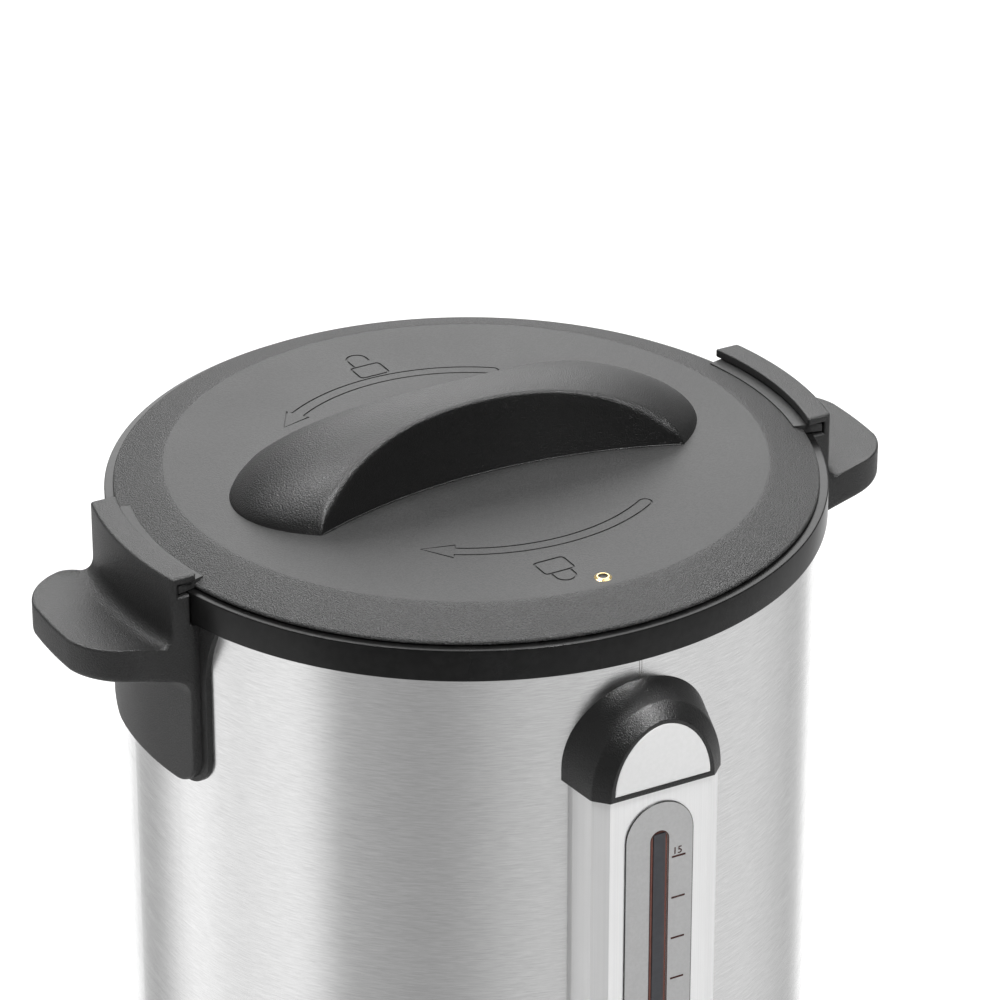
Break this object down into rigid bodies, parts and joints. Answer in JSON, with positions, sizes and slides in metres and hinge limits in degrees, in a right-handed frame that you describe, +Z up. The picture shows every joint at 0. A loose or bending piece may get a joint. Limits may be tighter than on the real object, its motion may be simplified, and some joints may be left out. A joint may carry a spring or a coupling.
{
  "type": "coffee urn",
  "caption": "Round double-walled steel urn with a black twist-lock lid, a domed lid handle, two side handles, a level gauge under a black hood and a lever tap.",
  "frame": {"origin": "the urn's axis on the table, at the foot ring's underside", "axes": "+Z up along the urn's axis, +X to the right, the gauge and tap face -Y"},
  "size_m": [0.3672, 0.3553, 0.5114],
  "materials": {
    "black_base": "fine spark-eroded texture",
    "galvanised": "galvanised sheet",
    "screw_steel": "zinc plated",
    "rubber_feet": "matte",
    "brushed_shell": "brushed round the body",
    "tank_steel": "satin",
    "black_gloss": "semi-gloss",
    "black_handle": "fine texture",
    "black_lid": "fine texture",
    "black_arch": "fine texture",
    "seal_rubber": "silicone",
    "brass_eyelet": "polished",
    "column_steel": "brushed lengthwise",
    "scale_grey": "satin grey print",
    "tube_glass": "clear",
    "black_cap": "smooth",
    "plate_silver": "silver foil",
    "black_hood": "fine texture",
    "tap_chrome": "polished",
    "nut_steel": "machined",
    "stem_steel": "turned",
    "spring_steel": "drawn wire",
    "black_lever": "moulded",
    "rocker_red": "translucent",
    "lamp_amber": "translucent",
    "lamp_green": "translucent",
    "blade_brass": "plated",
    "plate_aluminium": "cast",
    "element_steel": "heat tinted",
    "thermostat_body": "moulded resin",
    "terminal_cream": "ceramic-like",
    "washer_steel": "stamped"
  },
  "bodies": {
    "urn": {"base_shell": "black_base", "base_plate": "galvanised", "base_screws": "screw_steel", "foot_ring": "rubber_feet", "outer_shell": "brushed_shell", "inner_tank": "tank_steel", "rim_ring": "black_gloss", "side_handle_right": "black_handle", "side_handle_left": "black_handle", "handle_screws": "screw_steel", "sight_column": "column_steel", "scale_plate": "scale_grey", "gauge_tube": "tube_glass", "tube_seal": "seal_rubber", "tube_cap": "black_cap", "hood_plate": "plate_silver", "sight_hood": "black_hood", "column_foot": "black_base", "column_screws": "screw_steel", "tap_shank": "tap_chrome", "shank_nut": "nut_steel", "shank_seals": "seal_rubber", "tap_flange": "tap_chrome", "tap_body": "tap_chrome", "tap_bonnet": "black_cap", "tap_spring": "spring_steel", "switch_housing": "black_cap", "brew_lamp": "lamp_amber", "ready_lamp": "lamp_green", "mains_inlet": "black_cap", "inlet_blades": "blade_brass", "inlet_screws": "screw_steel", "heater_plate": "plate_aluminium", "heater_element": "element_steel", "warm_thermostat": "thermostat_body", "safety_cutout": "thermostat_body", "thermostat_strap": "galvanised", "terminal_block": "terminal_cream", "riser_tube": "tank_steel", "filter_basket": "tank_steel", "basket_cover": "tank_steel"},
    "lid": {"lid_shell": "black_lid", "lid_handle": "black_arch", "lid_handle_screws": "screw_steel", "lid_liner": "tank_steel", "liner_screws": "screw_steel", "lid_gasket": "seal_rubber", "vent_eyelet": "brass_eyelet"},
    "tap_stem_set": {"tap_stem": "stem_steel", "tap_pin": "stem_steel", "tap_seat_washer": "seal_rubber"},
    "tap_lever_body": {"tap_lever": "black_lever"},
    "rocker": {"switch_rocker": "rocker_red"},
    "pump_valve": {"pump_washer": "washer_steel"}
  },
  "joints": [
    {"name": "lid_twist", "type": "hinge", "parent": "urn", "child": "lid", "pos_m": [0, 0, 0.47], "axis": [0, 0, 1], "range_deg": [0, 35]},
    {"name": "tap_lift", "type": "slide", "parent": "urn", "child": "tap_stem_set", "axis": [0, 0, 1], "range_m": [0, 0.005], "stiffness_N_per_m": 200, "deforming": ["tap_spring"]},
    {"name": "tap_lever", "type": "hinge", "parent": "tap_stem_set", "child": "tap_lever_body", "pos_m": [0, -0.19, 0.1534], "axis": [1, 0, 0], "range_deg": [0, 50]},
    {"name": "power_rocker", "type": "hinge", "parent": "urn", "child": "rocker", "pos_m": [0.0708, -0.12263, 0.045], "axis": [-0.866, -0.5, 0], "range_deg": [0, 16]},
    {"name": "pump_washer", "type": "slide", "parent": "urn", "child": "pump_valve", "axis": [0, 0, 1], "range_m": [0, 0.003]}
  ],
  "couplings": [
    {"joint": "tap_lever", "follows": "tap_lift", "rad_per_m": 174.53}
  ]
}
